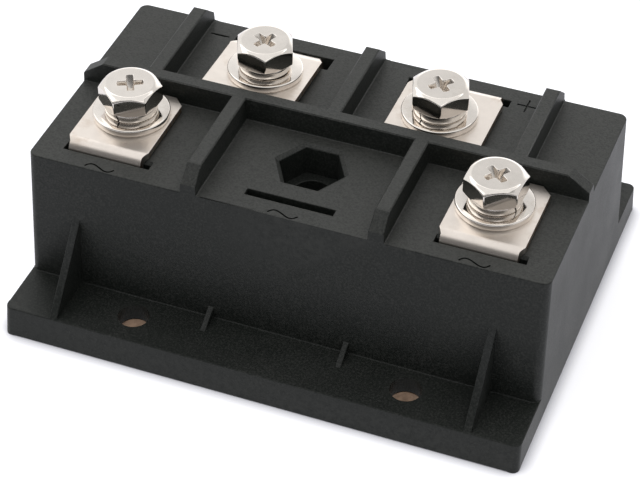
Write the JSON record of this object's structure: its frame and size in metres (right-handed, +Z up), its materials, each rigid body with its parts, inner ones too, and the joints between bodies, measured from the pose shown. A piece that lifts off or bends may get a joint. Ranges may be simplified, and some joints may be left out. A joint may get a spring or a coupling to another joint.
{
  "type": "bridge rectifier",
  "caption": "Single-phase bridge rectifier module: black moulded housing with mounting flanges, copper base plate and plated screw terminals between insulating ribs.",
  "frame": {"origin": "centre of the base plate's underside", "axes": "+X along the front edge from left to right, +Y to the back, +Z up"},
  "size_m": [0.094, 0.074, 0.0395],
  "materials": {
    "black_plastic": "fine moulded grain, satin",
    "copper_plate": "machined copper, slightly tarnished",
    "nickel_strip": "bright nickel plate, brown at the cut edges",
    "nickel_washer": "bright nickel plate",
    "nickel_spring": "bright nickel plate",
    "nickel_screw": "bright nickel plate",
    "nickel_nut": "nickel plate",
    "white_ceramic": "fired, matte",
    "bare_copper": "bare copper, satin",
    "silicon": "dark metallised silicon",
    "clear_gel": "soft clear silicone gel",
    "potting_resin": "cast resin"
  },
  "bodies": {
    "root": {"base_plate": "copper_plate", "chip_minus_left": "silicon", "chip_minus_right": "silicon", "chip_plus_left": "silicon", "chip_plus_right": "silicon", "clip_minus_left": "bare_copper", "clip_minus_right": "bare_copper", "clip_plus_left": "bare_copper", "clip_plus_right": "bare_copper", "gel": "clear_gel", "housing": "black_plastic", "nut_ac_left": "nickel_nut", "nut_ac_right": "nickel_nut", "nut_minus": "nickel_nut", "nut_plus": "nickel_nut", "pad_ac_left": "bare_copper", "pad_ac_right": "bare_copper", "pad_minus": "bare_copper", "pad_plus": "bare_copper", "potting": "potting_resin", "screw_ac_left": "nickel_screw", "screw_ac_right": "nickel_screw", "screw_minus": "nickel_screw", "screw_plus": "nickel_screw", "spring_washer_ac_left": "nickel_spring", "spring_washer_ac_right": "nickel_spring", "spring_washer_minus": "nickel_spring", "spring_washer_plus": "nickel_spring", "substrate": "white_ceramic", "terminal_ac_left": "nickel_strip", "terminal_ac_right": "nickel_strip", "terminal_minus": "nickel_strip", "terminal_plus": "nickel_strip", "washer_ac_left": "nickel_washer", "washer_ac_right": "nickel_washer", "washer_minus": "nickel_washer", "washer_plus": "nickel_washer"}
  },
  "joints": []
}
